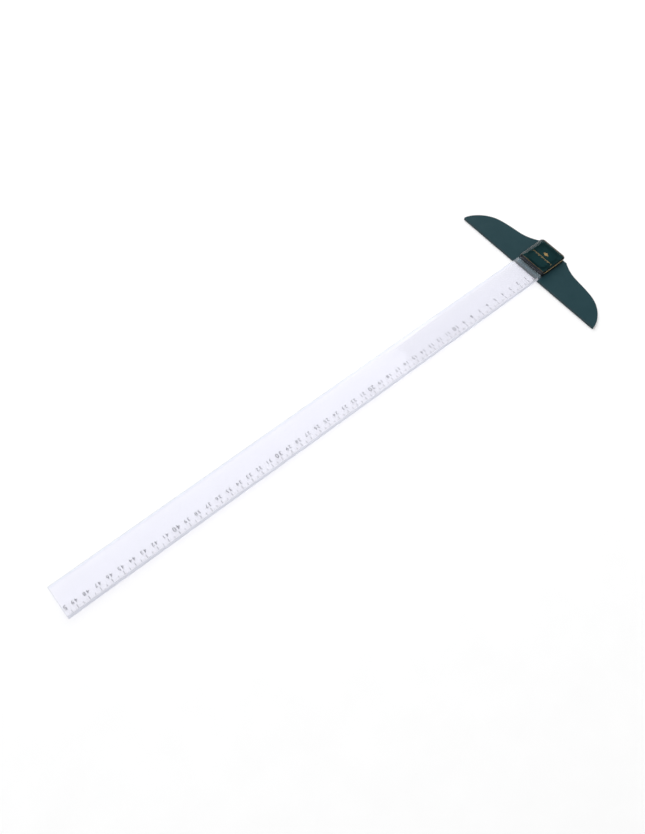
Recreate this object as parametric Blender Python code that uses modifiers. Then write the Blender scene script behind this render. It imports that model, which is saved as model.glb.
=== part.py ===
"""T square for drawing: a clear scaled blade plugged into a socket on a moulded head, with a badge on top.

Frame: the origin is on the head's working edge, at the middle of the blade and level with the head's
top face. +X runs along the blade to its free end, +Y points to the scaled edge and +Z is up.
"""
import bpy
import bmesh
from math import cos, pi, radians, sin
from mathutils import Matrix, Vector

MM = 0.001
GAP = 0.3 * MM              # kept between pieces that touch on the real object

# Blade
BLADE_REACH = 500 * MM      # working edge to free end: the length of the scale
BLADE_WIDTH = 30 * MM
BLADE_THICKNESS = 2.7 * MM
SCALE_BEVEL = 1.8 * MM      # slope beside the scale, seen from above
SCALE_BEVEL_DROP = 1.7 * MM
BACK_BEVEL = 3.3 * MM       # shallow slope along the plain edge
BACK_BEVEL_DROP = 1.0 * MM
BLADE_EDGE_ROUND = 0.12 * MM
SHOULDER = 4.0 * MM         # behind the working edge, where the blade narrows to its tongue
TONGUE_LENGTH = 26 * MM
TONGUE_WIDTH = 20 * MM
TONGUE_THICKNESS = 1.7 * MM

# Head
HEAD_HALF_LENGTH = 83 * MM
HEAD_DEPTH = 36.5 * MM      # working edge to rear edge, at the middle
HEAD_THICKNESS = 3 * MM
HEAD_EDGE_ROUND = 0.35 * MM
TIP_ROUND = 0.7 * MM

# Badge over the joint: a printed label under a clear domed cap
CAP_FRONT = 3.2 * MM        # set back from the working edge
CAP_WIDTH = 30 * MM
CAP_WALL_HEIGHT = 1.3 * MM
CAP_DOME_RISE = 1.5 * MM
CAP_DOME_SLOPE = 4.6 * MM
CAP_CORNER = 3.6 * MM
DOME_STEPS = 7
LABEL_THICKNESS = 0.3 * MM
LABEL_INSET = 0.2 * MM

# Socket: a block on the head that takes the blade's tongue from the front
SOCKET_FRONT = SHOULDER + GAP
SOCKET_INSET = 0.2 * MM

# Countersunk screws, driven up through the head into the socket's side walls
SCREW_ROWS = (10 * MM, 30 * MM)     # behind the working edge
SCREW_SPREAD = 12.6 * MM            # either side of the blade's middle
SCREW_RADIUS = 1.2 * MM
SCREW_HEAD_RADIUS = 2.4 * MM
SCREW_SUNK = 0.15 * MM              # below the head's underside
SCREW_LENGTH = 5.1 * MM
SCREW_RIM = 0.2 * MM                # upright rim round the screw's head
SCREW_TIP = 0.3 * MM                # slope at the screw's end
HOLE_SPARE = 0.15 * MM              # room beyond the screw's end
DRIVE_WIDTH = 0.6 * MM
DRIVE_SPAN = 2.6 * MM
DRIVE_DEPTH = 0.8 * MM

# Levels, worked out from the sizes above
HEAD_TOP = 0.0
HEAD_BOTTOM = HEAD_TOP - HEAD_THICKNESS
BLADE_BOTTOM = HEAD_TOP + GAP
BLADE_TOP = BLADE_BOTTOM + BLADE_THICKNESS
LABEL_BOTTOM = BLADE_TOP + GAP
CAP_BOTTOM = LABEL_BOTTOM + LABEL_THICKNESS + GAP
BLADE_TAIL = -SHOULDER - TONGUE_LENGTH
TONGUE_TOP = BLADE_BOTTOM + TONGUE_THICKNESS

CURVE_STEPS = 16
ROUND_STEPS = 32

# Colours: base colour, roughness, metallic, transmission
FINISHES = {
    "head_plastic": ((0.030, 0.064, 0.075), 0.55, 0.0, 0.0),
    "blade_acrylic": ((0.93, 0.92, 0.97), 0.08, 0.0, 0.85),
    "socket_plastic": ((0.010, 0.014, 0.016), 0.45, 0.0, 0.0),
    "label_print": ((0.010, 0.026, 0.029), 0.35, 0.0, 0.0),
    "cap_acrylic": ((0.95, 0.96, 0.96), 0.03, 0.0, 0.95),
    "screw_steel": ((0.55, 0.55, 0.56), 0.32, 1.0, 0.0),
}


def empty_scene():
    """Remove whatever the file holds, so that the script can run again."""
    for thing in list(bpy.data.objects):
        bpy.data.objects.remove(thing, do_unlink=True)


def new_collection(name):
    """Return an empty collection linked to the scene."""
    found = bpy.data.collections.get(name)
    if found:
        bpy.data.collections.remove(found)
    made = bpy.data.collections.new(name)
    bpy.context.scene.collection.children.link(made)
    return made


def new_material(name):
    """Return a Principled material with the finish listed for this name."""
    colour, roughness, metallic, transmission = FINISHES[name]
    made = bpy.data.materials.new(name)
    made.use_nodes = True
    shader = made.node_tree.nodes["Principled BSDF"]
    shader.inputs["Base Color"].default_value = (*colour, 1.0)
    shader.inputs["Roughness"].default_value = roughness
    shader.inputs["Metallic"].default_value = metallic
    shader.inputs["Transmission Weight"].default_value = transmission
    made.diffuse_color = (*colour, 1.0)
    return made


def bezier_outline(points):
    """Return a closed flat Bezier curve through (place, handle before, handle after) points.

    A side is straight where the handles at both its ends lie on the points themselves.
    """
    curve = bpy.data.curves.new("outline", "CURVE")
    curve.dimensions = "2D"
    curve.fill_mode = "BOTH"
    curve.resolution_u = CURVE_STEPS
    spline = curve.splines.new("BEZIER")
    spline.use_cyclic_u = True
    spline.bezier_points.add(len(points) - 1)
    for knot, (place, before, after) in zip(spline.bezier_points, points):
        knot.handle_left_type = "VECTOR" if before == place else "FREE"
        knot.handle_right_type = "VECTOR" if after == place else "FREE"
        knot.co = (*place, 0.0)
        knot.handle_left = (*before, 0.0)
        knot.handle_right = (*after, 0.0)
    return curve


def polygon_outline(corners):
    """Return a closed flat curve with straight sides."""
    curve = bpy.data.curves.new("outline", "CURVE")
    curve.dimensions = "2D"
    curve.fill_mode = "BOTH"
    spline = curve.splines.new("POLY")
    spline.use_cyclic_u = True
    spline.points.add(len(corners) - 1)
    for point, corner in zip(spline.points, corners):
        point.co = (*corner, 0.0, 1.0)
    return curve


def rounded_rectangle(centre, size, radius):
    """Return Bezier points for a rectangle whose four corners are quarter circles."""
    pull = radius * 0.5523
    half = Vector(size) / 2
    points = []
    corners = [(1, 1), (-1, 1), (-1, -1), (1, -1)]
    for across, up in corners:
        corner = Vector((centre[0] + across * half.x, centre[1] + up * half.y))
        on_side = corner - Vector((0, up * radius))
        on_top = corner - Vector((across * radius, 0))
        side_handle = on_side + Vector((0, up * pull))
        top_handle = on_top + Vector((across * pull, 0))
        if across * up > 0:
            points.append((on_side, on_side, side_handle))
            points.append((on_top, top_handle, on_top))
        else:
            points.append((on_top, on_top, top_handle))
            points.append((on_side, side_handle, on_side))
    return points


def solid_from_outline(name, curve, thickness, place, collection, material_name, edge_round=0.0):
    """Extrude a flat curve about a placed plane and keep it as one welded mesh object."""
    curve.extrude = thickness / 2 - edge_round
    curve.bevel_depth = edge_round
    curve.bevel_resolution = 1
    curve.offset = -edge_round
    drawn = bpy.data.objects.new(name + "_outline", curve)
    collection.objects.link(drawn)
    bpy.context.view_layer.update()
    evaluated = drawn.evaluated_get(bpy.context.evaluated_depsgraph_get())
    mesh = bpy.data.meshes.new_from_object(evaluated)
    bpy.data.objects.remove(drawn, do_unlink=True)
    bpy.data.curves.remove(curve)
    mesh.name = name
    mesh.transform(place)
    weld(mesh)
    solid = bpy.data.objects.new(name, mesh)
    collection.objects.link(solid)
    mesh.materials.clear()
    mesh.materials.append(new_material(material_name))
    return solid


def weld(mesh):
    """Join a mesh's doubled vertices and turn its faces outward."""
    work = bmesh.new()
    work.from_mesh(mesh)
    bmesh.ops.remove_doubles(work, verts=work.verts, dist=0.00001)
    bmesh.ops.recalc_face_normals(work, faces=work.faces)
    work.to_mesh(mesh)
    work.free()


def round_edges(solid, width, segments=2, angle=40):
    """Round a solid's sharp edges with a Bevel modifier."""
    bevel = solid.modifiers.new("rounded_edges", "BEVEL")
    bevel.width = width
    bevel.segments = segments
    bevel.limit_method = "ANGLE"
    bevel.angle_limit = radians(angle)
    bevel.use_clamp_overlap = False


def cut(solid, cutter):
    """Take one cutter out of a solid."""
    boolean = solid.modifiers.new("cut_" + cutter.name, "BOOLEAN")
    boolean.operation = "DIFFERENCE"
    boolean.solver = "EXACT"
    boolean.object = cutter


def shade(solid, angle=35):
    """Shade smooth, with sharp edges kept sharp."""
    solid.data.shade_smooth()
    solid.data.set_sharp_from_angle(angle=radians(angle))


def turned(name, profile, place, collection):
    """Turn a (radius, height) profile, listed from the bottom up, into a closed round solid."""
    work = bmesh.new()
    knots = [work.verts.new((radius, 0.0, height)) for radius, height in reversed(profile)]
    for first, second in zip(knots, knots[1:]):
        work.edges.new((first, second))
    mesh = bpy.data.meshes.new(name)
    work.to_mesh(mesh)
    work.free()
    solid = bpy.data.objects.new(name, mesh)
    solid.location = place
    collection.objects.link(solid)
    spin = solid.modifiers.new("turned", "SCREW")
    spin.steps = ROUND_STEPS
    spin.render_steps = ROUND_STEPS
    spin.use_merge_vertices = True
    spin.merge_threshold = 0.00001
    return solid


def box(name, size, place, collection):
    """Return a plain box, for cutting."""
    bpy.ops.mesh.primitive_cube_add(size=1, location=place)
    made = bpy.context.active_object
    made.name = name
    made.data.transform(Matrix.Diagonal((*size, 1.0)))
    for owner in list(made.users_collection):
        owner.objects.unlink(made)
    collection.objects.link(made)
    return made


def hide_cutter(cutter):
    """Show a cutter as wire and leave it out of renders."""
    cutter.hide_render = True
    cutter.display_type = "WIRE"


def screw_places():
    """List where each screw stands, as (x, y)."""
    return [(-row, side * SCREW_SPREAD) for row in SCREW_ROWS for side in (-1, 1)]


def wing_points():
    """Bezier points of one wing, from the tip along the rear outline to the shoulder by the blade."""
    tip = Vector((0.0, HEAD_HALF_LENGTH))
    lobe = Vector((-25.0, 60.0)) * MM
    waist = Vector((-29.1, 36.0)) * MM
    shoulder = Vector((-HEAD_DEPTH, 18.0 * MM))
    lobe_run = Vector((-2.3, -8.0)).normalized() * MM
    waist_run = Vector((-1.1, -8.0)).normalized() * MM
    round_start = tip + Vector((0.0, -TIP_ROUND))
    round_end = tip + Vector((-TIP_ROUND, -0.15 * TIP_ROUND))
    return [
        (round_start, round_start, tip + Vector((0.0, -0.4 * TIP_ROUND))),
        (round_end, tip + Vector((-0.4 * TIP_ROUND, 0.0)), Vector((-10.0, 81.5)) * MM),
        (lobe, lobe - 12.0 * lobe_run, lobe + 8.0 * lobe_run),
        (waist, waist - 8.0 * waist_run, waist + 7.6 * waist_run),
        (shoulder, shoulder + Vector((2.4, 3.0)) * MM, shoulder),
    ]


def head_outline():
    """Outline of the head: two equal wings with one straight working edge."""
    wing = wing_points()
    other = []
    for place, before, after in reversed(wing):
        flip = [Vector((spot.x, -spot.y)) for spot in (place, after, before)]
        other.append(tuple(flip))
    return bezier_outline(wing + other)


def make_head(parts, cutters):
    """Moulded head: a flat plate with two wings, countersunk from below for the screws."""
    place = Matrix.Translation((0.0, 0.0, (HEAD_TOP + HEAD_BOTTOM) / 2))
    head = solid_from_outline(
        "head", head_outline(), HEAD_THICKNESS, place, parts, "head_plastic", HEAD_EDGE_ROUND
    )
    clear_head = SCREW_HEAD_RADIUS + GAP
    clear_shank = SCREW_RADIUS + GAP
    throat = HEAD_BOTTOM + SCREW_SUNK + clear_head - clear_shank
    profile = [
        (0.0, HEAD_BOTTOM - MM),
        (clear_head, HEAD_BOTTOM - MM),
        (clear_head, HEAD_BOTTOM + SCREW_SUNK),
        (clear_shank, throat),
        (clear_shank, HEAD_TOP + MM),
        (0.0, HEAD_TOP + MM),
    ]
    for number, (along, side) in enumerate(screw_places(), 1):
        hole = turned(f"head_hole_{number}", profile, (along, side, 0.0), cutters)
        hide_cutter(hole)
        cut(head, hole)
    shade(head)
    return head


def blade_section():
    """Cross-section of the blade: flat below, sloped along both long edges above."""
    half = BLADE_WIDTH / 2
    return [
        (-half, BLADE_BOTTOM),
        (half, BLADE_BOTTOM),
        (half, BLADE_TOP - SCALE_BEVEL_DROP),
        (half - SCALE_BEVEL, BLADE_TOP),
        (-half + BACK_BEVEL, BLADE_TOP),
        (-half, BLADE_TOP - BACK_BEVEL_DROP),
    ]


def make_blade(parts, cutters):
    """Clear blade, narrowed and thinned at its hidden end to a tongue for the socket."""
    length = BLADE_REACH - BLADE_TAIL
    middle = (BLADE_REACH + BLADE_TAIL) / 2
    along_x = Matrix(((0, 0, 1, middle), (1, 0, 0, 0), (0, 1, 0, 0), (0, 0, 0, 1)))
    outline = polygon_outline(blade_section())
    blade = solid_from_outline("blade", outline, length, along_x, parts, "blade_acrylic")
    round_edges(blade, BLADE_EDGE_ROUND, angle=30)
    reach = TONGUE_LENGTH + MM
    waste_middle = -SHOULDER - reach / 2
    waste_width = BLADE_WIDTH - TONGUE_WIDTH
    side_size = (reach, waste_width, 4 * BLADE_THICKNESS)
    side_centre = (TONGUE_WIDTH + waste_width) / 2
    top_size = (reach, 2 * BLADE_WIDTH, BLADE_THICKNESS)
    top_centre = TONGUE_TOP + BLADE_THICKNESS / 2
    wastes = [
        ("blade_waste_left", side_size, (waste_middle, -side_centre, BLADE_TOP)),
        ("blade_waste_right", side_size, (waste_middle, side_centre, BLADE_TOP)),
        ("blade_waste_top", top_size, (waste_middle, 0.0, top_centre)),
    ]
    for name, size, place in wastes:
        waste = box(name, size, place, cutters)
        hide_cutter(waste)
        cut(blade, waste)
    return blade


def make_socket(parts, cutters):
    """Dark block screwed to the head, open at the front and below for the blade's tongue."""
    length = HEAD_DEPTH - SOCKET_FRONT - SOCKET_INSET
    middle = -(HEAD_DEPTH - SOCKET_INSET + SOCKET_FRONT) / 2
    size = (length, CAP_WIDTH - 2 * SOCKET_INSET)
    outline = bezier_outline(rounded_rectangle((middle, 0.0), size, CAP_CORNER - SOCKET_INSET))
    place = Matrix.Translation((0.0, 0.0, (BLADE_BOTTOM + BLADE_TOP) / 2))
    socket = solid_from_outline("blade_socket", outline, BLADE_THICKNESS, place, parts, "socket_plastic")
    channel_length = 2 * (TONGUE_LENGTH + GAP)
    channel_top = TONGUE_TOP + GAP
    size = (channel_length, TONGUE_WIDTH + 2 * GAP, 2 * (channel_top - HEAD_TOP))
    channel = box("socket_channel", size, (-SHOULDER, 0.0, HEAD_TOP), cutters)
    hide_cutter(channel)
    cut(socket, channel)
    hole_top = HEAD_BOTTOM + SCREW_SUNK + SCREW_LENGTH + HOLE_SPARE
    radius = SCREW_RADIUS + GAP
    profile = [(0.0, HEAD_TOP - MM), (radius, HEAD_TOP - MM), (radius, hole_top), (0.0, hole_top)]
    for number, (along, side) in enumerate(screw_places(), 1):
        hole = turned(f"socket_hole_{number}", profile, (along, side, 0.0), cutters)
        hide_cutter(hole)
        cut(socket, hole)
    return socket


def badge_outline(inset):
    """Outline of the label or the cap, set in from the cap's own edge."""
    length = HEAD_DEPTH - CAP_FRONT - 2 * inset
    middle = -(HEAD_DEPTH + CAP_FRONT) / 2
    size = (length, CAP_WIDTH - 2 * inset)
    return bezier_outline(rounded_rectangle((middle, 0.0), size, CAP_CORNER - inset))


def make_label(parts):
    """Printed label that lies between the socket and the cap."""
    place = Matrix.Translation((0.0, 0.0, LABEL_BOTTOM + LABEL_THICKNESS / 2))
    outline = badge_outline(LABEL_INSET)
    return solid_from_outline("label", outline, LABEL_THICKNESS, place, parts, "label_print")


def raise_dome(mesh, centre):
    """Raise the top face in rings that follow a quarter ellipse in from the wall."""
    work = bmesh.new()
    work.from_mesh(mesh)
    facing_up = [face for face in work.faces if face.normal.z > 0.9]
    bmesh.ops.dissolve_faces(work, faces=facing_up)
    turn = pi / 2 / DOME_STEPS
    for step in range(DOME_STEPS):
        lean = CAP_DOME_SLOPE * (cos(step * turn) - cos((step + 1) * turn))
        rise = CAP_DOME_RISE * (sin((step + 1) * turn) - sin(step * turn))
        top = max(work.faces, key=lambda face: face.calc_center_median().z)
        grown = bmesh.ops.extrude_face_region(work, geom=[top])
        bmesh.ops.delete(work, geom=[top], context="FACES_ONLY")
        for vert in grown["geom"]:
            if isinstance(vert, bmesh.types.BMVert):
                vert.co.x -= lean if vert.co.x > centre else -lean
                vert.co.y -= lean if vert.co.y > 0 else -lean
                vert.co.z += rise
    bmesh.ops.recalc_face_normals(work, faces=work.faces)
    work.to_mesh(mesh)
    work.free()


def make_cap(parts):
    """Clear domed cap: a low upright wall, rounded over all round to a flat top."""
    place = Matrix.Translation((0.0, 0.0, CAP_BOTTOM + CAP_WALL_HEIGHT / 2))
    cap = solid_from_outline("cap", badge_outline(0.0), CAP_WALL_HEIGHT, place, parts, "cap_acrylic")
    raise_dome(cap.data, -(HEAD_DEPTH + CAP_FRONT) / 2)
    shade(cap)
    return cap


def make_screw(number, along, side, parts, cutters):
    """Countersunk screw with a cross recess, head down."""
    low = HEAD_BOTTOM + SCREW_SUNK
    high = low + SCREW_LENGTH
    neck = low + SCREW_HEAD_RADIUS - SCREW_RADIUS
    profile = [
        (0.0, low),
        (SCREW_HEAD_RADIUS - SCREW_RIM, low),
        (SCREW_HEAD_RADIUS - SCREW_RIM, low + SCREW_RIM),
        (SCREW_RADIUS, neck),
        (SCREW_RADIUS, high - SCREW_TIP),
        (SCREW_RADIUS - SCREW_TIP, high),
        (0.0, high),
    ]
    name = f"fixing_screw_{number}"
    screw = turned(name, profile, (along, side, 0.0), parts)
    screw.data.materials.append(new_material("screw_steel"))
    slots = [(DRIVE_SPAN, DRIVE_WIDTH), (DRIVE_WIDTH, DRIVE_SPAN)]
    for slot_number, (length, width) in enumerate(slots, 1):
        size = (length, width, 2 * DRIVE_DEPTH)
        slot = box(f"{name}_drive_{slot_number}", size, (along, side, low), cutters)
        hide_cutter(slot)
        cut(screw, slot)
    shade(screw)
    return screw


def main():
    """Build the T square."""
    empty_scene()
    parts = new_collection("t_square")
    cutters = new_collection("cutters")
    make_head(parts, cutters)
    make_blade(parts, cutters)
    make_socket(parts, cutters)
    make_label(parts)
    make_cap(parts)
    for number, (along, side) in enumerate(screw_places(), 1):
        make_screw(number, along, side, parts, cutters)


main()
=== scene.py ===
"""Looks of the T square: materials, printed scale, gold badge print, floor, light and camera."""

from math import cos, pi, radians, sin

import bmesh
import bpy
from mathutils import Matrix, Vector

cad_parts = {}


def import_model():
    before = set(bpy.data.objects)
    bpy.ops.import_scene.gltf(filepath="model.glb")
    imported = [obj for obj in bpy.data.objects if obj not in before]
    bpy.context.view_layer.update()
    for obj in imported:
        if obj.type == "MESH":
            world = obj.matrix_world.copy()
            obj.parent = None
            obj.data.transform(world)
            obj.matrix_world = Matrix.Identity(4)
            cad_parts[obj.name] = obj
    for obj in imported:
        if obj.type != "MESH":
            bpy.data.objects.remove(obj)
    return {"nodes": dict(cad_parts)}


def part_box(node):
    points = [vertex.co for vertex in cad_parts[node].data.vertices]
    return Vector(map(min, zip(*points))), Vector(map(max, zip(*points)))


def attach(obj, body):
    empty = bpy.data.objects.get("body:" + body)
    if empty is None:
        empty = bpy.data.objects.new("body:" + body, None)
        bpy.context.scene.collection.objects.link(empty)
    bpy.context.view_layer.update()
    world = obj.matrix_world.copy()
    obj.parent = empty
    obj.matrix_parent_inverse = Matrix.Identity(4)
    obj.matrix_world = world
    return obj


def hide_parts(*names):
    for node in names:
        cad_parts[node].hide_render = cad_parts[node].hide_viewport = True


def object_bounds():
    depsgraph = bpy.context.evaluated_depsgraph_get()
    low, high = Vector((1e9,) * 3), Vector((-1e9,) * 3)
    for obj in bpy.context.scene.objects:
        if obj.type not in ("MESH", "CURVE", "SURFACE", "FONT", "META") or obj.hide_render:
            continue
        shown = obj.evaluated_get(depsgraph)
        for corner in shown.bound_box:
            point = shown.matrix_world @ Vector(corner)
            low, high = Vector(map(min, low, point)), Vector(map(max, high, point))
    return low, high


MM = 0.001
BODY = "root"

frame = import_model()
cad_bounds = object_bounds()

# Places taken from the frame
BLADE_LOW, BLADE_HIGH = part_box("blade")
CAP_LOW, CAP_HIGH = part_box("cap")
LABEL_LOW, LABEL_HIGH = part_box("label")

# Printed scale
INK_DEPTH = 0.02 * MM
INK_LIFT = 0.01 * MM            # clear of the blade's face, so the two never share a plane
SCALE_LAST_CM = 50
MARK_END = 2.0 * MM             # from the scaled edge to the outer end of every mark
LONG_MARK = 3.0 * MM
HALF_MARK = 2.1 * MM
SHORT_MARK = 1.4 * MM
LONG_MARK_WIDTH = 0.34 * MM
HALF_MARK_WIDTH = 0.30 * MM
SHORT_MARK_WIDTH = 0.05 * MM
NUMERAL_CENTRE = 8.2 * MM       # from the scaled edge to the middle of the numerals
UNIT_NUMERAL_SIZE = 4.5 * MM
TEN_NUMERAL_SIZE = 5.6 * MM
UNIT_NUMERAL_WEIGHT = -0.02 * MM
TEN_NUMERAL_WEIGHT = 0.0
NUMERAL_SPACING = 1.30
LAST_NUMERAL_SHIFT = 0.42       # of its size, back from the blade's end
WELD_DISTANCE = 0.002 * MM

# Clear acrylic, shared by the blade and the cap
ACRYLIC_IOR = 1.49
HANDLING_ROUGHNESS = 0.035      # added where the polish is handled
RIPPLE_DEPTH = 0.4 * MM

# Tones, painted shade and painted sheen, and polish of the clear blade
BLADE_TONE = (0.955, 0.955, 0.985)
SLOPE_WIDTH = 1.8 * MM          # slope beside the scale
# painted shade: grey tone on the slope by the scale and on the free end's edge
EDGE_PAINTED_SHADE_TONE = (0.70, 0.71, 0.775)
OVERLAP_PAINTED_SHEEN_TONE = (0.82, 0.94, 1.0)    # painted sheen over the head; the next two are painted shade over the head
OVERLAP_SLOPE_PAINTED_SHADE_TONE = (0.26, 0.31, 0.35)
OVERLAP_PLAIN_EDGE_PAINTED_SHADE_TONE = (0.66, 0.74, 0.80)
SLOPE_ROUGHNESS = 0.35
# milky frosting of the slope, which also lets its grey painted shade show
SLOPE_MILKINESS_AND_PAINTED_SHADE = 0.49
# less clear over the head, so that its painted sheen tone shows as haze
CLARITY_OVER_HEAD_WITH_PAINTED_SHEEN = 0.905
CLARITY_FREE = 0.94
BLADE_POLISH = 0.015
BLADE_RIPPLE = 0.12
BLADE_DEPTH_TONE = (0.60, 0.60, 0.80)
BLADE_DEPTH_DENSITY = 14.0
EDGE_FADE = 0.7                 # share of an edge's width where its tone is full
WORKING_EDGE_FADE = 0.2 * MM    # either side of the head's working edge
END_EDGE_WIDTH = 0.6 * MM
PLAIN_EDGE_WIDTH = 2.8 * MM
# painted shade: cool grey band along the plain edge
PLAIN_EDGE_PAINTED_SHADE_TONE = (0.86, 0.88, 0.94)

# Gold print on the label
GOLD_DEPTH = 0.03 * MM
BORDER_WIDTH = 0.16 * MM
BORDER_INSET = {"rear": 0.5 * MM, "front": 3.6 * MM, "plain": 0.15 * MM, "scaled": 1.9 * MM}
RULE_OFFSET = 16.4 * MM         # from the label's front edge to the decorative rule
RULE_HALF_LENGTH = 11.0 * MM
RULE_WIDTH = 0.18 * MM
RULE_STEPS = 24
RULE_LONG_EVERY = 4
RULE_LONG_DIVISION = 1.5 * MM
RULE_SHORT_DIVISION = 0.8 * MM
RULE_DIVISION_WIDTH = 0.22 * MM
SCALED_SIDE_SHADE_FADE = 0.1 * MM          # painted shade fades in here, at the scaled side of the label's field
MOTIF_OFFSET = 21.3 * MM        # from the label's front edge to the diamond motif's middle
MOTIF_HALF_DEPTH = 1.9 * MM
MOTIF_HALF_WIDTH = 2.9 * MM
MOTIF_RINGS = ((0.15, 0.52), (0.70, 1.0))   # inner and outer shares of the half sizes
PRINT_SHIFT = 0.6 * MM          # rule and motif stand this far off the middle, to the scaled side

# Clear cap, bonded to the label: a low wall, then rings along a quarter ellipse to a flat top
CAP_WALL = 1.3 * MM
CAP_DOME_SLOPE = 4.6 * MM
CAP_CORNER = 3.6 * MM
CAP_SINK = 0.02 * MM            # into the label, so that no air is left between them
CAP_RINGS = 20
CORNER_STEPS = 10
CAP_TONE = (0.98, 0.985, 0.985)
CAP_SHADED_TONE = (0.96, 0.98, 0.98)
CAP_DEPTH_TONE = (0.80, 0.85, 0.85)
CAP_DEPTH_DENSITY = 4.0
CAP_POLISH = 0.06
CAP_RIPPLE = 0.003

# Dark skirt with a gold line, just inside the cap's wall
SKIRT_INSET = 0.12 * MM
SKIRT_THICKNESS = 0.15 * MM
GOLD_LINE_LOW = 4.1 * MM
GOLD_LINE_HIGH = 5.1 * MM

# Camera, in the frame's own directions
CAMERA_PLACE = Vector((0.4665, 0.2366, 0.5855))
CAMERA_HEADING = radians(227.29)
CAMERA_DIP = radians(61.31)
CAMERA_ROLL = radians(3.51)
SENSOR_WIDTH = 36.0
CAMERA_LENS = 44.58

# Surroundings: heights are sines of the angle above the horizon
WALL_TOP = 0.46
CEILING_START = 0.68
WALL_LIGHT = 0.60
CEILING_LIGHT = 0.04
FLOOR_HALF_SIZE = 4.0
FLOOR_GAP = 0.05 * MM           # below the head's underside


# ---------------------------------------------------------------- node helpers

def new_material(name):
    """Return an empty node material and its output node."""
    made = bpy.data.materials.new(name)
    made.use_nodes = True
    made.node_tree.nodes.clear()
    output = made.node_tree.nodes.new("ShaderNodeOutputMaterial")
    return made, output


def add(tree, kind, **settings):
    """Add a node and set its named properties."""
    node = tree.nodes.new(kind)
    for key, value in settings.items():
        setattr(node, key, value)
    return node


def noise(tree, scale, detail=3.0, roughness=0.5, stretch=(1.0, 1.0, 1.0)):
    """Noise fixed to the object, in metres, stretched along its axes."""
    place = add(tree, "ShaderNodeTexCoord")
    mapping = add(tree, "ShaderNodeMapping")
    mapping.inputs["Scale"].default_value = stretch
    texture = add(tree, "ShaderNodeTexNoise")
    texture.inputs["Scale"].default_value = scale
    texture.inputs["Detail"].default_value = detail
    texture.inputs["Roughness"].default_value = roughness
    tree.links.new(place.outputs["Object"], mapping.inputs["Vector"])
    tree.links.new(mapping.outputs["Vector"], texture.inputs["Vector"])
    return texture.outputs["Fac"]


def spread(tree, source, low, high, start=0.3, end=0.7):
    """Map a noise value onto a range."""
    node = add(tree, "ShaderNodeMapRange")
    node.inputs["From Min"].default_value = start
    node.inputs["From Max"].default_value = end
    node.inputs["To Min"].default_value = low
    node.inputs["To Max"].default_value = high
    tree.links.new(source, node.inputs["Value"])
    return node.outputs["Result"]


def blend_colours(tree, factor, first, second):
    """Mix two colours by a factor."""
    node = add(tree, "ShaderNodeMix", data_type="RGBA")
    node.inputs["A"].default_value = (*first, 1.0)
    node.inputs["B"].default_value = (*second, 1.0)
    tree.links.new(factor, node.inputs["Factor"])
    return node.outputs["Result"]


def bump(tree, height, depth, strength=1.0):
    """Turn a height into a normal."""
    node = add(tree, "ShaderNodeBump")
    node.inputs["Strength"].default_value = strength
    node.inputs["Distance"].default_value = depth
    tree.links.new(height, node.inputs["Height"])
    return node.outputs["Normal"]


# ------------------------------------------------------------------ materials

def moulded_plastic(name, dark, light):
    """Moulded plastic: fine spark-eroded grain, faint flow tone and rubbed patches."""
    made, output = new_material(name)
    tree = made.node_tree
    shader = add(tree, "ShaderNodeBsdfPrincipled")
    tone = spread(tree, noise(tree, 45.0, 4.0), 0.0, 1.0)
    tree.links.new(blend_colours(tree, tone, dark, light), shader.inputs["Base Color"])
    rubbed = spread(tree, noise(tree, 120.0, 6.0), 0.50, 0.62)
    tree.links.new(rubbed, shader.inputs["Roughness"])
    grain = noise(tree, 5200.0, 2.0)
    tree.links.new(bump(tree, grain, 0.00003, 0.5), shader.inputs["Normal"])
    shader.inputs["Specular IOR Level"].default_value = 0.30
    tree.links.new(shader.outputs["BSDF"], output.inputs["Surface"])
    return made


def handling(tree, shader, ripple_strength, polish):
    """Faint handling marks and mould ripple, shared by the clear pieces."""
    handled = spread(tree, noise(tree, 160.0, 5.0), polish, polish + HANDLING_ROUGHNESS)
    ripple = noise(tree, 60.0, 2.0, stretch=(0.35, 1.0, 1.0))
    tree.links.new(bump(tree, ripple, RIPPLE_DEPTH, ripple_strength), shader.inputs["Normal"])
    return handled


def let_lamps_through(tree, shader, colour, output):
    """Join a glass shader to the output so that lamps and soft light pass straight through it."""
    through = add(tree, "ShaderNodeBsdfTransparent")
    through.inputs["Color"].default_value = (*colour, 1.0)
    path = add(tree, "ShaderNodeLightPath")
    lamp = add(tree, "ShaderNodeMath", operation="MAXIMUM")
    mixed = add(tree, "ShaderNodeMixShader")
    tree.links.new(path.outputs["Is Shadow Ray"], lamp.inputs[0])
    tree.links.new(path.outputs["Is Diffuse Ray"], lamp.inputs[1])
    tree.links.new(lamp.outputs["Value"], mixed.inputs["Fac"])
    tree.links.new(shader.outputs["BSDF"], mixed.inputs[1])
    tree.links.new(through.outputs["BSDF"], mixed.inputs[2])
    tree.links.new(mixed.outputs["Shader"], output.inputs["Surface"])


def absorb(tree, colour, density, output):
    """Tint long paths inside a clear piece."""
    depth = add(tree, "ShaderNodeVolumeAbsorption")
    depth.inputs["Color"].default_value = (*colour, 1.0)
    depth.inputs["Density"].default_value = density
    tree.links.new(depth.outputs["Volume"], output.inputs["Volume"])


def rise_along(tree, axis, start, end):
    """Rise smoothly from nought to one between two places along one of the blade's axes."""
    place = add(tree, "ShaderNodeTexCoord")
    parts = add(tree, "ShaderNodeSeparateXYZ")
    rise = add(tree, "ShaderNodeMapRange")
    rise.interpolation_type = "SMOOTHSTEP"
    rise.inputs["From Min"].default_value = start
    rise.inputs["From Max"].default_value = end
    tree.links.new(place.outputs["Object"], parts.inputs["Vector"])
    tree.links.new(parts.outputs[axis], rise.inputs["Value"])
    return rise.outputs["Result"]


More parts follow.
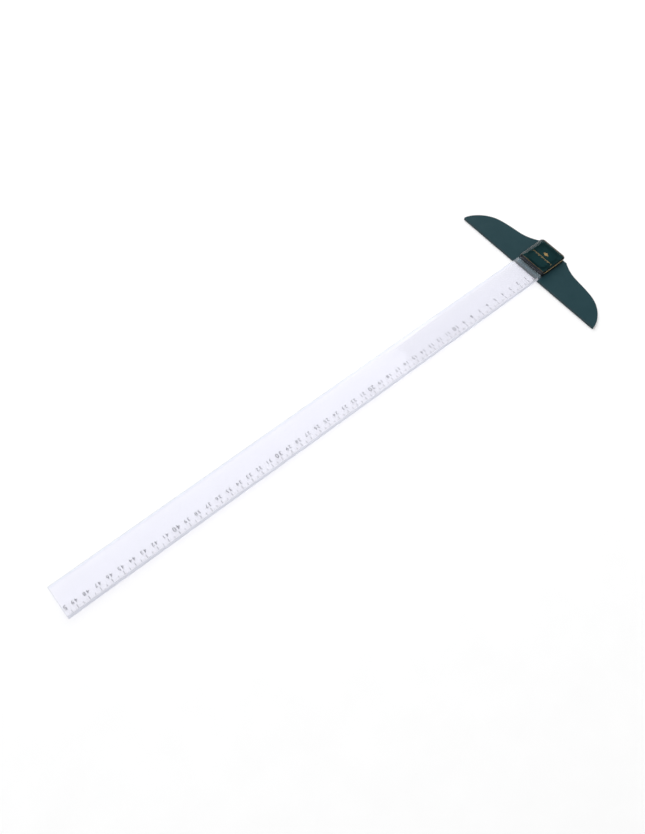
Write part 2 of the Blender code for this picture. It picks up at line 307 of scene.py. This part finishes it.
def blend_into(tree, factor, colour, tone):
    """Mix a colour socket towards a fixed tone or another colour socket by a factor."""
    node = add(tree, "ShaderNodeMix", data_type="RGBA")
    if isinstance(tone, tuple):
        node.inputs["B"].default_value = (*tone, 1.0)
    else:
        tree.links.new(tone, node.inputs["B"])
    tree.links.new(colour, node.inputs["A"])
    tree.links.new(factor, node.inputs["Factor"])
    return node.outputs["Result"]


def blade_acrylic():
    """Clear acrylic: a milky machined slope by the scale, grey painted shade on that slope, on the
    free end's edge and along the plain edge, and a painted sheen with darker painted shade where the
    blade lies over the head.
    """
    made, output = new_material("blade_clear_acrylic")
    tree = made.node_tree
    shader = add(tree, "ShaderNodeBsdfPrincipled")
    shader.inputs["IOR"].default_value = ACRYLIC_IOR
    # painted shade band along the plain edge
    plain = rise_along(tree, "Y", BLADE_LOW[1] + PLAIN_EDGE_WIDTH,
                       BLADE_LOW[1] + EDGE_FADE * PLAIN_EDGE_WIDTH)
    # painted shade along the free end's edge
    end = rise_along(tree, "X", BLADE_HIGH[0] - END_EDGE_WIDTH, BLADE_HIGH[0])
    free = rise_along(tree, "X", -WORKING_EDGE_FADE, WORKING_EDGE_FADE)
    slope = rise_along(tree, "Y", BLADE_HIGH[1] - SLOPE_WIDTH,
                       BLADE_HIGH[1] - EDGE_FADE * SLOPE_WIDTH)
    # milky slope: real frosting, and where its grey painted shade shows
    milky = add(tree, "ShaderNodeMath", operation="MULTIPLY")
    tree.links.new(slope, milky.inputs[0])
    tree.links.new(free, milky.inputs[1])
    # over the head the blade's tone is a painted sheen, bluish and hazier
    colour = blend_colours(tree, free, OVERLAP_PAINTED_SHEEN_TONE, BLADE_TONE)
    # painted shade on the plain edge, darker over the head
    colour = blend_into(tree, plain, colour,
                        blend_colours(tree, free, OVERLAP_PLAIN_EDGE_PAINTED_SHADE_TONE, PLAIN_EDGE_PAINTED_SHADE_TONE))
    colour = blend_into(tree, end, colour, EDGE_PAINTED_SHADE_TONE)
    # painted shade on the slope, darker over the head
    colour = blend_into(tree, slope, colour,
                        blend_colours(tree, free, OVERLAP_SLOPE_PAINTED_SHADE_TONE, EDGE_PAINTED_SHADE_TONE))
    tree.links.new(colour, shader.inputs["Base Color"])
    clear = add(tree, "ShaderNodeMath", operation="SUBTRACT")
    tree.links.new(spread(tree, free, CLARITY_OVER_HEAD_WITH_PAINTED_SHEEN, CLARITY_FREE, 0.0, 1.0), clear.inputs[0])
    milkiness_and_painted_shade = spread(tree, milky.outputs["Value"], 0.0, SLOPE_MILKINESS_AND_PAINTED_SHADE, 0.0, 1.0)
    tree.links.new(milkiness_and_painted_shade, clear.inputs[1])
    tree.links.new(clear.outputs["Value"], shader.inputs["Transmission Weight"])
    milled = add(tree, "ShaderNodeMath", operation="MULTIPLY_ADD")
    tree.links.new(milky.outputs["Value"], milled.inputs[0])
    milled.inputs[1].default_value = SLOPE_ROUGHNESS
    tree.links.new(handling(tree, shader, BLADE_RIPPLE, BLADE_POLISH), milled.inputs[2])
    tree.links.new(milled.outputs["Value"], shader.inputs["Roughness"])
    let_lamps_through(tree, shader, BLADE_TONE, output)
    absorb(tree, BLADE_DEPTH_TONE, BLADE_DEPTH_DENSITY, output)
    return made


def cap_acrylic():
    """Polished water-clear acrylic."""
    made, output = new_material("cap_clear_acrylic")
    tree = made.node_tree
    shader = add(tree, "ShaderNodeBsdfPrincipled")
    tone = spread(tree, noise(tree, 300.0), 0.0, 1.0)
    tree.links.new(blend_colours(tree, tone, CAP_SHADED_TONE, CAP_TONE), shader.inputs["Base Color"])
    shader.inputs["IOR"].default_value = ACRYLIC_IOR
    shader.inputs["Transmission Weight"].default_value = 1.0
    tree.links.new(handling(tree, shader, CAP_RIPPLE, CAP_POLISH), shader.inputs["Roughness"])
    let_lamps_through(tree, shader, CAP_TONE, output)
    absorb(tree, CAP_DEPTH_TONE, CAP_DEPTH_DENSITY, output)
    return made


def border_corners():
    """Low and high corners of the field inside the label's border."""
    low = Vector((LABEL_LOW[0] + BORDER_INSET["rear"], LABEL_LOW[1] + BORDER_INSET["plain"]))
    high = Vector((LABEL_HIGH[0] - BORDER_INSET["front"], LABEL_HIGH[1] - BORDER_INSET["scaled"]))
    return low, high


def inside_border(tree):
    """One inside the label's border, nought outside it."""
    low, high = border_corners()
    middle = (low + high) / 2
    half = (high - low) / 2
    place = add(tree, "ShaderNodeTexCoord")
    parts = add(tree, "ShaderNodeSeparateXYZ")
    tree.links.new(place.outputs["Object"], parts.inputs["Vector"])
    inside = []
    for axis, centre, reach in (("X", middle.x, half.x), ("Y", middle.y, half.y)):
        shifted = add(tree, "ShaderNodeMath", operation="SUBTRACT")
        tree.links.new(parts.outputs[axis], shifted.inputs[0])
        shifted.inputs[1].default_value = centre
        distance = add(tree, "ShaderNodeMath", operation="ABSOLUTE")
        tree.links.new(shifted.outputs["Value"], distance.inputs[0])
        near = add(tree, "ShaderNodeMath", operation="LESS_THAN")
        tree.links.new(distance.outputs["Value"], near.inputs[0])
        near.inputs[1].default_value = reach
        inside.append(near.outputs["Value"])
    both = add(tree, "ShaderNodeMath", operation="MULTIPLY")
    tree.links.new(inside[0], both.inputs[0])
    tree.links.new(inside[1], both.inputs[1])
    return both.outputs["Value"]


def label_print():
    """Printed badge: deep green field with a dark grey margin, painted black as shade on the scaled
    side, where the steep wall shows no reflection.
    """
    made, output = new_material("label_green_print")
    tree = made.node_tree
    shader = add(tree, "ShaderNodeBsdfPrincipled")
    weave = spread(tree, noise(tree, 1500.0, 2.0), 0.0, 1.0)
    field = blend_colours(tree, weave, (0.0030, 0.0215, 0.0235), (0.0050, 0.0265, 0.0290))
    side = border_corners()[1].y
    scaled_side_painted_shade = rise_along(tree, "Y", side - SCALED_SIDE_SHADE_FADE, side)
    # painted shade: the margin turns black on the scaled side, where the steep wall shows no
    # reflection
    margin = blend_colours(tree, scaled_side_painted_shade, (0.018, 0.020, 0.025), (0.003, 0.003, 0.003))
    tree.links.new(blend_into(tree, inside_border(tree), margin, field), shader.inputs["Base Color"])
    tree.links.new(spread(tree, noise(tree, 900.0), 0.45, 0.60), shader.inputs["Roughness"])
    shader.inputs["Specular IOR Level"].default_value = 0.08
    tree.links.new(shader.outputs["BSDF"], output.inputs["Surface"])
    return made


def gold_print(name, bright, dull):
    """Gold foil print, a little worn."""
    made, output = new_material(name)
    tree = made.node_tree
    shader = add(tree, "ShaderNodeBsdfPrincipled")
    worn = spread(tree, noise(tree, 700.0, 5.0), 0.0, 1.0)
    tree.links.new(blend_colours(tree, worn, bright, dull), shader.inputs["Base Color"])
    shader.inputs["Metallic"].default_value = 0.55
    tree.links.new(spread(tree, noise(tree, 1600.0), 0.35, 0.55), shader.inputs["Roughness"])
    tree.links.new(shader.outputs["BSDF"], output.inputs["Surface"])
    return made


def ink(name, dark, light):
    """Silk-screened ink with uneven cover."""
    made, output = new_material(name)
    tree = made.node_tree
    shader = add(tree, "ShaderNodeBsdfPrincipled")
    cover = spread(tree, noise(tree, 1400.0, 4.0), 0.0, 1.0)
    tree.links.new(blend_colours(tree, cover, dark, light), shader.inputs["Base Color"])
    tree.links.new(spread(tree, noise(tree, 2500.0), 0.45, 0.6), shader.inputs["Roughness"])
    tree.links.new(shader.outputs["BSDF"], output.inputs["Surface"])
    return made


def screw_steel():
    """Zinc-plated steel: fine turning marks and uneven brightness."""
    made, output = new_material("plated_screw_steel")
    tree = made.node_tree
    shader = add(tree, "ShaderNodeBsdfPrincipled")
    tone = spread(tree, noise(tree, 900.0, 4.0), 0.0, 1.0)
    tree.links.new(blend_colours(tree, tone, (0.52, 0.52, 0.53), (0.66, 0.65, 0.63)),
                   shader.inputs["Base Color"])
    shader.inputs["Metallic"].default_value = 1.0
    tree.links.new(spread(tree, noise(tree, 2600.0, 3.0), 0.24, 0.42), shader.inputs["Roughness"])
    marks = noise(tree, 9000.0, 2.0, stretch=(1.0, 1.0, 0.1))
    tree.links.new(bump(tree, marks, 0.00002, 0.4), shader.inputs["Normal"])
    tree.links.new(shader.outputs["BSDF"], output.inputs["Surface"])
    return made


def dress(node, material):
    """Give a CAD node its finished material."""
    for holder in bpy.data.objects[node].material_slots:
        holder.material = material


# --------------------------------------------------------------------- pieces

def new_piece(name, work, material):
    """Turn a bmesh into a piece that rides on the part."""
    bmesh.ops.recalc_face_normals(work, faces=work.faces)
    mesh = bpy.data.meshes.new(name)
    work.to_mesh(mesh)
    work.free()
    piece = bpy.data.objects.new(name, mesh)
    bpy.context.scene.collection.objects.link(piece)
    mesh.materials.append(material)
    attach(piece, BODY)
    return piece


def add_bar(work, low, high):
    """Add a closed box between two corners."""
    size = Vector(high) - Vector(low)
    middle = (Vector(high) + Vector(low)) / 2
    matrix = Matrix.Translation(middle) @ Matrix.Diagonal((*size, 1.0))
    bmesh.ops.create_cube(work, size=1.0, matrix=matrix)


def scale_marks(name, every_mm, skip_mm, length, width, material):
    """Marks across the blade by the scaled edge, one every so many millimetres."""
    outer = BLADE_HIGH[1] - MARK_END
    low_z = BLADE_HIGH[2] + INK_LIFT
    work = bmesh.new()
    for millimetre in range(0, SCALE_LAST_CM * 10, every_mm):
        if skip_mm and millimetre % skip_mm == 0:
            continue
        along = max(millimetre * MM, width / 2)
        low = (along - width / 2, outer - length, low_z)
        high = (along + width / 2, outer, low_z + INK_DEPTH)
        add_bar(work, low, high)
    new_piece(name, work, material)


def add_numeral(work, text, along, size, weight):
    """Add one printed numeral, centred on its mark and read towards the blade's free end."""
    curve = bpy.data.curves.new("numeral", "FONT")
    curve.body = text
    curve.size = size
    curve.align_x = "CENTER"
    curve.align_y = "CENTER"
    curve.space_character = NUMERAL_SPACING
    curve.offset = weight
    curve.extrude = INK_DEPTH / 2
    curve.resolution_u = 4
    drawn = bpy.data.objects.new("numeral", curve)
    bpy.context.scene.collection.objects.link(drawn)
    bpy.context.view_layer.update()
    evaluated = drawn.evaluated_get(bpy.context.evaluated_depsgraph_get())
    mesh = bpy.data.meshes.new_from_object(evaluated)
    bpy.data.objects.remove(drawn, do_unlink=True)
    bpy.data.curves.remove(curve)
    across = BLADE_HIGH[1] - NUMERAL_CENTRE
    mesh.transform(Matrix.Translation((along, across, BLADE_HIGH[2] + INK_LIFT + INK_DEPTH / 2)))
    work.from_mesh(mesh)
    bpy.data.meshes.remove(mesh)


def numerals(material_units, material_tens):
    """Every centimetre numbered, the tens larger and lighter; the blade ends through the last one."""
    units = bmesh.new()
    tens = bmesh.new()
    for centimetre in range(1, SCALE_LAST_CM):
        along = centimetre * 10 * MM
        if centimetre % 10:
            add_numeral(units, str(centimetre), along, UNIT_NUMERAL_SIZE, UNIT_NUMERAL_WEIGHT)
        else:
            add_numeral(tens, str(centimetre), along, TEN_NUMERAL_SIZE, TEN_NUMERAL_WEIGHT)
    last = BLADE_HIGH[0] - LAST_NUMERAL_SHIFT * TEN_NUMERAL_SIZE
    add_numeral(tens, str(SCALE_LAST_CM // 10), last, TEN_NUMERAL_SIZE, TEN_NUMERAL_WEIGHT)
    for work in (units, tens):
        bmesh.ops.remove_doubles(work, verts=work.verts, dist=WELD_DISTANCE)
    new_piece("scale_unit_numerals", units, material_units)
    new_piece("scale_ten_numerals", tens, material_tens)


def cap_ring(work, inset, height):
    """Add one ring of vertices round the cap, its corners keeping their radius."""
    half_x = (CAP_HIGH[0] - CAP_LOW[0]) / 2 - inset - CAP_CORNER
    half_y = (CAP_HIGH[1] - CAP_LOW[1]) / 2 - inset - CAP_CORNER
    middle = Vector(((CAP_HIGH[0] + CAP_LOW[0]) / 2, (CAP_HIGH[1] + CAP_LOW[1]) / 2))
    ring = []
    for quarter, (along, across) in enumerate(((1, 1), (-1, 1), (-1, -1), (1, -1))):
        for step in range(CORNER_STEPS + 1):
            angle = (quarter + step / CORNER_STEPS) * pi / 2
            x = middle.x + along * half_x + CAP_CORNER * cos(angle)
            y = middle.y + across * half_y + CAP_CORNER * sin(angle)
            ring.append(work.verts.new((x, y, height)))
    return ring


def clear_cap(material):
    """Domed clear cap, smooth over its slopes, bonded to the label below."""
    wall_top = CAP_LOW[2] + CAP_WALL
    rise = CAP_HIGH[2] - wall_top
    work = bmesh.new()
    rings = [cap_ring(work, 0.0, LABEL_HIGH[2] - CAP_SINK)]
    for step in range(CAP_RINGS + 1):
        turn = pi / 2 * step / CAP_RINGS
        rings.append(cap_ring(work, CAP_DOME_SLOPE * (1 - cos(turn)), wall_top + rise * sin(turn)))
    for lower, upper in zip(rings, rings[1:]):
        for corner in range(len(lower)):
            after = (corner + 1) % len(lower)
            face = work.faces.new((lower[corner], lower[after], upper[after], upper[corner]))
            face.smooth = True
    work.faces.new(list(reversed(rings[0])))
    work.faces.new(rings[-1])
    piece = new_piece("cap_bonded_dome", work, material)
    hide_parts("cap")


def label_border(material):
    """Gold lines on three sides of the label's field; the fourth runs along the badge's side."""
    low, high = border_corners()
    low_z = LABEL_HIGH[2] + INK_LIFT
    high_z = low_z + GOLD_DEPTH
    width = BORDER_WIDTH
    work = bmesh.new()
    add_bar(work, (low.x, low.y, low_z), (high.x, low.y + width, high_z))
    add_bar(work, (low.x, low.y + width, low_z), (low.x + width, high.y, high_z))
    add_bar(work, (high.x - width, low.y + width, low_z), (high.x, high.y, high_z))
    new_piece("label_gold_border", work, material)


def badge_side_line(material):
    """Gold line along the badge's side next to the scale, printed on the skirt."""
    inner = CAP_HIGH[1] - SKIRT_INSET + INK_LIFT
    low = (CAP_LOW[0] + CAP_CORNER, inner, GOLD_LINE_LOW)
    high = (CAP_HIGH[0] - CAP_CORNER, inner + GOLD_DEPTH, GOLD_LINE_HIGH)
    work = bmesh.new()
    add_bar(work, low, high)
    new_piece("badge_gold_side_line", work, material)


def badge_skirt(material):
    """Closed dark band round the badge, just inside the cap's wall."""
    inset = SKIRT_INSET
    thickness = SKIRT_THICKNESS
    low_z = LABEL_HIGH[2] + INK_LIFT
    high_z = CAP_LOW[2] + CAP_WALL
    work = bmesh.new()
    loops = [
        cap_ring(work, inset, low_z),
        cap_ring(work, inset, high_z),
        cap_ring(work, inset + thickness, high_z),
        cap_ring(work, inset + thickness, low_z),
    ]
    for loop, following in zip(loops, loops[1:] + loops[:1]):
        for corner in range(len(loop)):
            after = (corner + 1) % len(loop)
            work.faces.new((loop[corner], loop[after], following[after], following[corner]))
    new_piece("badge_skirt", work, material)


def label_rule(material):
    """A plain gold rule with small divisions, like a ruler's edge."""
    front = LABEL_HIGH[0]
    middle = (LABEL_LOW[1] + LABEL_HIGH[1]) / 2 + PRINT_SHIFT
    along = front - RULE_OFFSET
    low_z = LABEL_HIGH[2] + INK_LIFT
    high_z = low_z + GOLD_DEPTH
    work = bmesh.new()
    low = (along - RULE_WIDTH / 2, middle - RULE_HALF_LENGTH, low_z)
    high = (along + RULE_WIDTH / 2, middle + RULE_HALF_LENGTH, high_z)
    add_bar(work, low, high)
    pitch = 2 * RULE_HALF_LENGTH / RULE_STEPS
    for step in range(RULE_STEPS + 1):
        across = middle - RULE_HALF_LENGTH + step * pitch
        length = RULE_SHORT_DIVISION if step % RULE_LONG_EVERY else RULE_LONG_DIVISION
        low = (along + RULE_WIDTH / 2, across - RULE_DIVISION_WIDTH / 2, low_z)
        high = (along + RULE_WIDTH / 2 + length, across + RULE_DIVISION_WIDTH / 2, high_z)
        add_bar(work, low, high)
    new_piece("label_gold_rule", work, material)


def add_diamond(work, centre, inner, outer, low_z, high_z):
    """Add a closed flat diamond outline between two shares of the motif's half sizes."""
    rows = []
    for along, across in ((1, 0), (0, 1), (-1, 0), (0, -1)):
        row = []
        for share, height in ((inner, low_z), (outer, low_z), (outer, high_z), (inner, high_z)):
            x = centre.x + along * MOTIF_HALF_DEPTH * share
            y = centre.y + across * MOTIF_HALF_WIDTH * share
            row.append(work.verts.new((x, y, height)))
        rows.append(row)
    for first, second in zip(rows, rows[1:] + rows[:1]):
        for corner in range(4):
            after = (corner + 1) % 4
            work.faces.new((first[corner], first[after], second[after], second[corner]))


def label_motif(material):
    """A plain gold ornament: one diamond outline inside another."""
    middle = (LABEL_LOW[1] + LABEL_HIGH[1]) / 2 + PRINT_SHIFT
    centre = Vector((LABEL_HIGH[0] - MOTIF_OFFSET, middle))
    low_z = LABEL_HIGH[2] + INK_LIFT
    high_z = low_z + GOLD_DEPTH
    work = bmesh.new()
    for inner, outer in MOTIF_RINGS:
        add_diamond(work, centre, inner, outer, low_z, high_z)
    new_piece("label_gold_diamond", work, material)


# ---------------------------------------------------------------------- stage

def floor():
    """Plain pale floor just under the head."""
    low = cad_bounds[0]
    work = bmesh.new()
    bmesh.ops.create_grid(work, x_segments=1, y_segments=1, size=FLOOR_HALF_SIZE)
    mesh = bpy.data.meshes.new("floor")
    work.to_mesh(mesh)
    work.free()
    ground = bpy.data.objects.new("floor", mesh)
    ground.location.z = low[2] - FLOOR_GAP
    bpy.context.scene.collection.objects.link(ground)
    made, output = new_material("floor_white")
    tree = made.node_tree
    shader = add(tree, "ShaderNodeBsdfPrincipled")
    tone = spread(tree, noise(tree, 30.0), 0.0, 1.0)
    colour = blend_colours(tree, tone, (0.90, 0.90, 0.90), (0.915, 0.915, 0.915))
    tree.links.new(colour, shader.inputs["Base Color"])
    shader.inputs["Roughness"].default_value = 1.0
    shader.inputs["Specular IOR Level"].default_value = 0.0
    tree.links.new(shader.outputs["BSDF"], output.inputs["Surface"])
    mesh.materials.append(made)


def softbox(name, heading, height, distance, size, power, seen):
    """A square area lamp aimed at the blade's middle; seen says whether gloss shows it."""
    aim = Vector(((cad_bounds[0][0] + cad_bounds[1][0]) / 2, 0.0, 0.0))
    lamp = bpy.data.lights.new(name, "AREA")
    lamp.shape = "SQUARE"
    lamp.size = size
    lamp.energy = power
    holder = bpy.data.objects.new(name, lamp)
    away = Vector((cos(height) * cos(heading), cos(height) * sin(heading), sin(height)))
    holder.location = aim + away * distance
    holder.rotation_euler = away.to_track_quat("Z", "Y").to_euler()
    holder.visible_glossy = seen
    bpy.context.scene.collection.objects.link(holder)


def world():
    """White walls all round under a dark ceiling, so that level gloss stays deep."""
    made = bpy.data.worlds.new("studio")
    made.use_nodes = True
    tree = made.node_tree
    background = tree.nodes["Background"]
    background.inputs["Color"].default_value = (1.0, 1.0, 1.0, 1.0)
    place = add(tree, "ShaderNodeTexCoord")
    parts = add(tree, "ShaderNodeSeparateXYZ")
    fade = add(tree, "ShaderNodeMapRange")
    fade.interpolation_type = "SMOOTHSTEP"
    fade.inputs["From Min"].default_value = WALL_TOP
    fade.inputs["From Max"].default_value = CEILING_START
    fade.inputs["To Min"].default_value = WALL_LIGHT
    fade.inputs["To Max"].default_value = CEILING_LIGHT
    tree.links.new(place.outputs["Generated"], parts.inputs["Vector"])
    tree.links.new(parts.outputs["Z"], fade.inputs["Value"])
    tree.links.new(fade.outputs["Result"], background.inputs["Strength"])
    bpy.context.scene.world = made


def camera():
    """Camera high beside the blade's free end, looking back towards the head."""
    look = Vector((cos(CAMERA_DIP) * cos(CAMERA_HEADING), cos(CAMERA_DIP) * sin(CAMERA_HEADING),
                   -sin(CAMERA_DIP)))
    level = look.cross(Vector((0, 0, 1))).normalized()
    upright = level.cross(look)
    right = cos(CAMERA_ROLL) * level + sin(CAMERA_ROLL) * upright
    up = right.cross(look)
    turn = Matrix((right, up, -look)).transposed()
    lens = bpy.data.cameras.new("camera")
    lens.sensor_fit = "HORIZONTAL"
    lens.sensor_width = SENSOR_WIDTH
    lens.lens = CAMERA_LENS
    lens.clip_start = 0.01
    holder = bpy.data.objects.new("camera", lens)
    holder.matrix_world = Matrix.Translation(CAMERA_PLACE) @ turn.to_4x4()
    bpy.context.scene.collection.objects.link(holder)
    bpy.context.scene.camera = holder


def main():
    """Dress the part and set the stage."""
    dress("head", moulded_plastic("head_green_plastic", (0.0115, 0.0395, 0.0480),
                                  (0.0145, 0.0445, 0.0540)))
    dress("blade_socket", moulded_plastic("socket_black_plastic", (0.0060, 0.0075, 0.0085),
                                          (0.0085, 0.0105, 0.0120)))
    dress("blade", blade_acrylic())
    clear_cap(cap_acrylic())
    dress("label", label_print())
    steel = screw_steel()
    for node in sorted(frame["nodes"]):
        if node.startswith("fixing_screw"):
            dress(node, steel)
    dark_ink = ink("scale_dark_ink", (0.07, 0.07, 0.085), (0.11, 0.11, 0.13))
    light_ink = ink("scale_light_ink", (0.10, 0.10, 0.12), (0.16, 0.16, 0.18))
    scale_marks("scale_centimetre_marks", 10, 0, LONG_MARK, LONG_MARK_WIDTH, light_ink)
    scale_marks("scale_half_marks", 5, 10, HALF_MARK, HALF_MARK_WIDTH, light_ink)
    scale_marks("scale_millimetre_marks", 1, 5, SHORT_MARK, SHORT_MARK_WIDTH, light_ink)
    numerals(dark_ink, light_ink)
    gold = gold_print("gold_foil_print", (0.62, 0.40, 0.15), (0.46, 0.28, 0.10))
    dull_gold = gold_print("gold_foil_dull_print", (0.38, 0.23, 0.08), (0.28, 0.16, 0.05))
    label_border(dull_gold)
    badge_skirt(ink("badge_skirt_black", (0.006, 0.006, 0.008), (0.010, 0.009, 0.012)))
    badge_side_line(ink("badge_side_gold", (0.90, 0.64, 0.20), (0.72, 0.49, 0.14)))
    label_rule(gold)
    label_motif(gold)
    floor()
    world()
    softbox("key", radians(250), radians(40), 1.8, 1.0, 9.0, False)
    softbox("rim", radians(226), radians(25), 1.8, 1.05, 3.2, True)
    softbox("overhead", radians(280), radians(86), 2.6, 3.2, 74.0, False)
    camera()
    bpy.context.scene.view_settings.view_transform = "Standard"


main()
